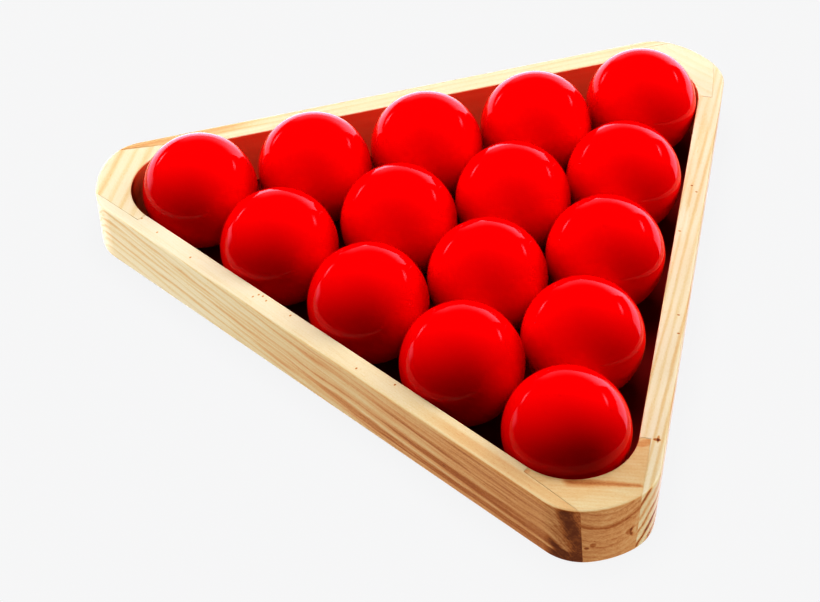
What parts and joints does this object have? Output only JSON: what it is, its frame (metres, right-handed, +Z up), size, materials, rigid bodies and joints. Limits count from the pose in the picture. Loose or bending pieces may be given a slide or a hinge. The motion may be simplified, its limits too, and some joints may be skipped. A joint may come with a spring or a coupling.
{
  "type": "triangle rack",
  "caption": "Triangular wooden rack with cut-off, rounded corners and an open middle, holding loose balls that each lift straight out.",
  "frame": {"origin": "on the standing surface, below the centre of the whole bounding box", "axes": "+Z up; the near corner of the triangle points along -Y; the back rail lies along X"},
  "size_m": [0.3072, 0.2758, 0.0525],
  "materials": {
    "rail_wood": "satin lacquered pale pine, grain along the rail",
    "block_wood": "satin lacquered pale pine, grain across the corner",
    "ball_resin": "polished red phenolic resin"
  },
  "bodies": {
    "rack": {"back_rail": "rail_wood", "left_corner_block": "block_wood", "left_rail": "rail_wood", "near_corner_block": "block_wood", "right_corner_block": "block_wood", "right_rail": "rail_wood"},
    "ball_01": {"ball_01": "ball_resin"},
    "ball_02": {"ball_02": "ball_resin"},
    "ball_03": {"ball_03": "ball_resin"},
    "ball_04": {"ball_04": "ball_resin"},
    "ball_05": {"ball_05": "ball_resin"},
    "ball_06": {"ball_06": "ball_resin"},
    "ball_07": {"ball_07": "ball_resin"},
    "ball_08": {"ball_08": "ball_resin"},
    "ball_09": {"ball_09": "ball_resin"},
    "ball_10": {"ball_10": "ball_resin"},
    "ball_11": {"ball_11": "ball_resin"},
    "ball_12": {"ball_12": "ball_resin"},
    "ball_13": {"ball_13": "ball_resin"},
    "ball_14": {"ball_14": "ball_resin"},
    "ball_15": {"ball_15": "ball_resin"}
  },
  "joints": [
    {"name": "ball_01_lift", "type": "slide", "parent": "rack", "child": "ball_01", "axis": [0, 0, 1], "range_m": [0, 0.06]},
    {"name": "ball_02_lift", "type": "slide", "parent": "rack", "child": "ball_02", "axis": [0, 0, 1], "range_m": [0, 0.06]},
    {"name": "ball_03_lift", "type": "slide", "parent": "rack", "child": "ball_03", "axis": [0, 0, 1], "range_m": [0, 0.06]},
    {"name": "ball_04_lift", "type": "slide", "parent": "rack", "child": "ball_04", "axis": [0, 0, 1], "range_m": [0, 0.06]},
    {"name": "ball_05_lift", "type": "slide", "parent": "rack", "child": "ball_05", "axis": [0, 0, 1], "range_m": [0, 0.06]},
    {"name": "ball_06_lift", "type": "slide", "parent": "rack", "child": "ball_06", "axis": [0, 0, 1], "range_m": [0, 0.06]},
    {"name": "ball_07_lift", "type": "slide", "parent": "rack", "child": "ball_07", "axis": [0, 0, 1], "range_m": [0, 0.06]},
    {"name": "ball_08_lift", "type": "slide", "parent": "rack", "child": "ball_08", "axis": [0, 0, 1], "range_m": [0, 0.06]},
    {"name": "ball_09_lift", "type": "slide", "parent": "rack", "child": "ball_09", "axis": [0, 0, 1], "range_m": [0, 0.06]},
    {"name": "ball_10_lift", "type": "slide", "parent": "rack", "child": "ball_10", "axis": [0, 0, 1], "range_m": [0, 0.06]},
    {"name": "ball_11_lift", "type": "slide", "parent": "rack", "child": "ball_11", "axis": [0, 0, 1], "range_m": [0, 0.06]},
    {"name": "ball_12_lift", "type": "slide", "parent": "rack", "child": "ball_12", "axis": [0, 0, 1], "range_m": [0, 0.06]},
    {"name": "ball_13_lift", "type": "slide", "parent": "rack", "child": "ball_13", "axis": [0, 0, 1], "range_m": [0, 0.06]},
    {"name": "ball_14_lift", "type": "slide", "parent": "rack", "child": "ball_14", "axis": [0, 0, 1], "range_m": [0, 0.06]},
    {"name": "ball_15_lift", "type": "slide", "parent": "rack", "child": "ball_15", "axis": [0, 0, 1], "range_m": [0, 0.06]}
  ]
}
